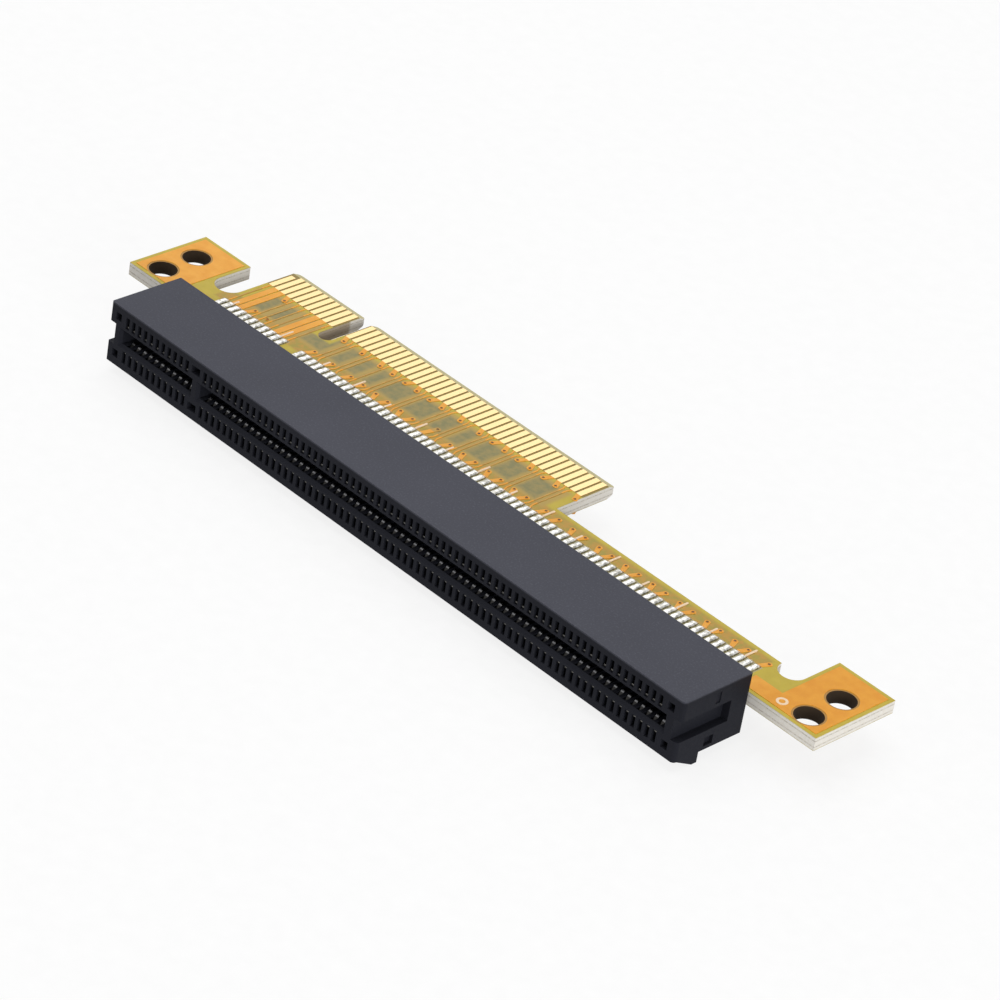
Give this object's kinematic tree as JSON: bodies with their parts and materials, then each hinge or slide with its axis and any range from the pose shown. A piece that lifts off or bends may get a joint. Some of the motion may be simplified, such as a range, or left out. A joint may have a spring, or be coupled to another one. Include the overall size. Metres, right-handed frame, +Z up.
{
  "type": "pcie riser card",
  "caption": "Short straight riser: a green board with a gold card edge and two screw ears, and a long black card slot soldered astride its other edge.",
  "frame": {"origin": "the middle of the card slot's key, on the connector's mating face, at the board's mid-plane", "axes": "+X along the connector towards its latch end, +Y from the mating face towards the gold edge, +Z up through the board"},
  "size_m": [0.107, 0.0265, 0.0087],
  "materials": {
    "housing": "matt moulded nylon",
    "board": "glass laminate under green solder mask",
    "contact": "gold plated spring strip",
    "solder": "bright solder",
    "gold": "hard gold plating",
    "copper": "copper under solder mask"
  },
  "bodies": {
    "root": {"circuit_board": "board", "connector_housing": "housing", "lower_contacts_power": "contact", "lower_contacts_x1": "contact", "lower_contacts_x16": "contact", "lower_contacts_x4": "contact", "lower_contacts_x8": "contact", "lower_copper": "copper", "lower_gold_fingers_power": "gold", "lower_gold_fingers_x1": "gold", "lower_gold_fingers_x4": "gold", "lower_gold_fingers_x8": "gold", "lower_solder_power": "solder", "lower_solder_x1": "solder", "lower_solder_x16": "solder", "lower_solder_x4": "solder", "lower_solder_x8": "solder", "upper_contacts_power": "contact", "upper_contacts_x1": "contact", "upper_contacts_x16": "contact", "upper_contacts_x4": "contact", "upper_contacts_x8": "contact", "upper_copper": "copper", "upper_gold_fingers_power": "gold", "upper_gold_fingers_x1": "gold", "upper_gold_fingers_x4": "gold", "upper_gold_fingers_x8": "gold", "upper_solder_power": "solder", "upper_solder_x1": "solder", "upper_solder_x16": "solder", "upper_solder_x4": "solder", "upper_solder_x8": "solder"}
  },
  "joints": []
}
